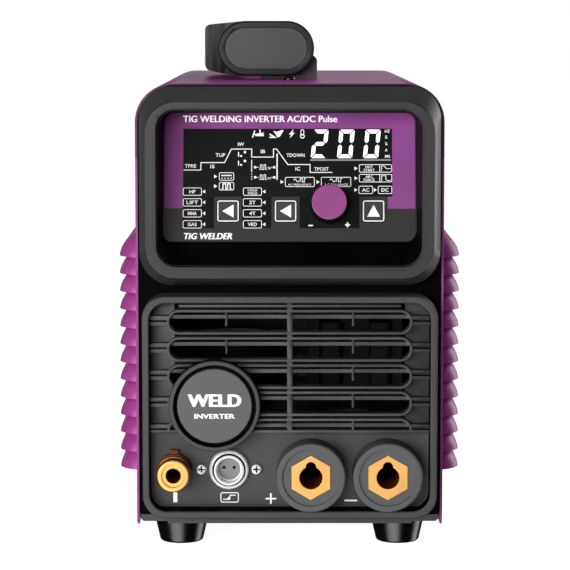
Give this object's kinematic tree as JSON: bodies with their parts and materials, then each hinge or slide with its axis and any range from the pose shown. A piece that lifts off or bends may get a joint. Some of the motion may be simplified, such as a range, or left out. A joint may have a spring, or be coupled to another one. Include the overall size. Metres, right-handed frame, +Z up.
{
  "type": "tig welding machine",
  "caption": "Portable inverter TIG welder: purple sheet cover with scooped side vents, dark front with recessed control panel, grille, weld and gas sockets, fold-flat handle, rubber feet.",
  "frame": {"origin": "on the floor, under the middle of the whole machine (bottom centre of its bounding box)", "axes": "+Z up, front panel faces -Y, +X to the right of somebody facing the front"},
  "size_m": [0.2032, 0.455, 0.3068],
  "materials": {
    "cover_paint": "semi-gloss purple powder coat",
    "vent_purple": "glossy purple moulded plastic",
    "case_black": "fine-grained black moulded plastic",
    "badge_grey": "satin grey plastic disc",
    "rear_paint": "black powder coat",
    "base_steel": "zinc-plated sheet steel",
    "handle_black": "satin black glass-filled plastic",
    "handle_inlay": "satin dark grey plastic",
    "overlay_print": "satin printed polyester overlay",
    "smoked_window": "smoked acrylic window",
    "key_black": "satin black key caps",
    "knob_black": "black knurled plastic",
    "knob_purple": "purple knob disc",
    "socket_black": "black thermoset plastic",
    "brass": "machined brass",
    "chrome": "polished nickel-chrome plate",
    "socket_insert": "silver grey insulating insert",
    "foot_rubber": "black rubber",
    "hose_rubber": "black gas hose",
    "circuit_board": "green circuit board with components",
    "capacitor": "sleeved aluminium cans",
    "heatsink": "extruded aluminium",
    "ferrite": "ferrite core and taped winding",
    "copper": "copper strap",
    "valve": "solenoid valve body and coil"
  },
  "bodies": {
    "chassis": {"top_cover": "cover_paint", "side_vent_left": "vent_purple", "side_vent_right": "vent_purple", "front_fascia": "case_black", "display_bezel": "case_black", "front_grille": "case_black", "connector_plate": "case_black", "badge_ring": "case_black", "switch_body": "case_black", "cable_gland": "case_black", "fan_frame": "case_black", "badge_disc": "badge_grey", "rear_panel": "rear_paint", "base_plate": "base_steel", "handle_brackets": "handle_black", "control_overlay": "overlay_print", "lcd_window": "smoked_window", "positive_socket_housing": "socket_black", "negative_socket_housing": "socket_black", "socket_nuts": "socket_black", "positive_socket_contact": "brass", "negative_socket_contact": "brass", "gas_outlet_body": "brass", "gas_outlet_nut": "brass", "gas_inlet": "brass", "earth_stud": "brass", "torch_socket_shell": "chrome", "torch_socket_screws": "chrome", "case_screws": "chrome", "foot_screws": "chrome", "fan_guard": "chrome", "handle_pins": "chrome", "torch_socket_insert": "socket_insert", "foot_front_left": "foot_rubber", "foot_front_right": "foot_rubber", "foot_rear_left": "foot_rubber", "foot_rear_right": "foot_rubber", "gas_hoses": "hose_rubber", "control_board": "circuit_board", "power_board": "circuit_board", "lcd_module": "circuit_board", "encoder_body": "circuit_board", "bus_capacitors": "capacitor", "heatsinks": "heatsink", "main_transformer": "ferrite", "output_choke": "ferrite", "output_busbars": "copper", "gas_valve": "valve"},
    "encoder_rotor": {"encoder_rotor": "circuit_board"},
    "knob": {"encoder_shaft": "chrome", "control_knob": "knob_black", "knob_cap": "knob_purple"},
    "key_left": {"key_left": "key_black"},
    "key_middle": {"key_middle": "key_black"},
    "key_right": {"key_right": "key_black"},
    "gas_sleeve": {"gas_outlet_sleeve": "brass"},
    "fan": {"fan_rotor": "case_black"},
    "rocker": {"switch_rocker": "case_black"},
    "handle": {"handle_grip": "handle_black", "handle_caps": "handle_inlay"}
  },
  "joints": [
    {"name": "handle_fold", "type": "hinge", "parent": "chassis", "child": "handle", "pos_m": [-0.0014, 0.0075, 0.29], "axis": [0, 1, 0], "range_deg": [0, 90]},
    {"name": "knob_turn", "type": "hinge", "parent": "chassis", "child": "encoder_rotor", "pos_m": [0.0226, -0.19182, 0.20047], "axis": [0, -0.9744, 0.225], "continuous": true},
    {"name": "knob_push", "type": "slide", "parent": "encoder_rotor", "child": "knob", "axis": [0, 0.9744, -0.225], "range_m": [0, 0.0005], "stiffness_N_per_m": 1500, "springref_m": -0.001},
    {"name": "key_left_press", "type": "slide", "parent": "chassis", "child": "key_left", "axis": [0, 0.9744, -0.225], "range_m": [0, 0.0006], "stiffness_N_per_m": 800, "springref_m": -0.0015},
    {"name": "key_middle_press", "type": "slide", "parent": "chassis", "child": "key_middle", "axis": [0, 0.9744, -0.225], "range_m": [0, 0.0006], "stiffness_N_per_m": 800, "springref_m": -0.0015},
    {"name": "key_right_press", "type": "slide", "parent": "chassis", "child": "key_right", "axis": [0, 0.9744, -0.225], "range_m": [0, 0.0006], "stiffness_N_per_m": 800, "springref_m": -0.0015},
    {"name": "gas_sleeve_slide", "type": "slide", "parent": "chassis", "child": "gas_sleeve", "axis": [0, 1, 0], "range_m": [0, 0.002], "stiffness_N_per_m": 1500, "springref_m": -0.003},
    {"name": "fan_spin", "type": "hinge", "parent": "chassis", "child": "fan", "pos_m": [0, 0.1825, 0.13], "axis": [0, 1, 0], "continuous": true},
    {"name": "power_rocker", "type": "hinge", "parent": "chassis", "child": "rocker", "pos_m": [0.044, 0.1945, 0.23], "axis": [-1, 0, 0], "range_deg": [0, 23.5]}
  ]
}
